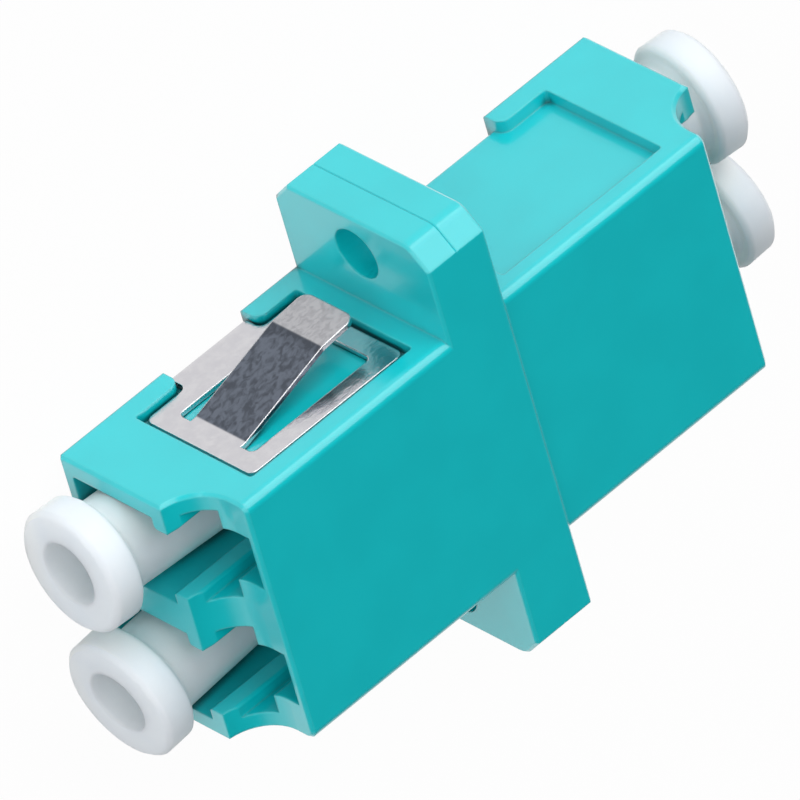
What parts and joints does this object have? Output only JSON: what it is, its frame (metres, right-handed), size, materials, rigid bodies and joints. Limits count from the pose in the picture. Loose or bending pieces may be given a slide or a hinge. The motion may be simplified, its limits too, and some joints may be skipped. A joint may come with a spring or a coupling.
{
  "type": "duplex fibre optic adapter",
  "caption": "Flanged duplex fibre adapter with latch-slotted ports at both ends, a spring clip round the front half and a dust cap in each port.",
  "frame": {"origin": "on the wide face that the adapter lies on, in the seam between the two housings, midway across the flange", "axes": "+X across the two ports, +Y along the ports towards the rear housing, +Z towards the wide face with the latch slots"},
  "size_m": [0.022, 0.0362, 0.0092],
  "materials": {
    "housing": "satin moulded",
    "cap": "soft translucent",
    "steel": "bright rolled",
    "ceramic": "polished ceramic"
  },
  "bodies": {
    "adapter": {"front_housing": "housing", "rear_housing": "housing", "left_split_sleeve": "ceramic", "right_split_sleeve": "ceramic", "spring_clip": "steel"},
    "front_left_dust_cap": {"front_left_dust_cap": "cap"},
    "front_right_dust_cap": {"front_right_dust_cap": "cap"},
    "rear_left_dust_cap": {"rear_left_dust_cap": "cap"},
    "rear_right_dust_cap": {"rear_right_dust_cap": "cap"}
  },
  "joints": [
    {"name": "front_left_dust_cap_pull", "type": "slide", "parent": "adapter", "child": "front_left_dust_cap", "axis": [0, -1, 0], "range_m": [0, 0.02]},
    {"name": "front_right_dust_cap_pull", "type": "slide", "parent": "adapter", "child": "front_right_dust_cap", "axis": [0, -1, 0], "range_m": [0, 0.02]},
    {"name": "rear_left_dust_cap_pull", "type": "slide", "parent": "adapter", "child": "rear_left_dust_cap", "axis": [0, 1, 0], "range_m": [0, 0.02]},
    {"name": "rear_right_dust_cap_pull", "type": "slide", "parent": "adapter", "child": "rear_right_dust_cap", "axis": [0, 1, 0], "range_m": [0, 0.02]}
  ]
}
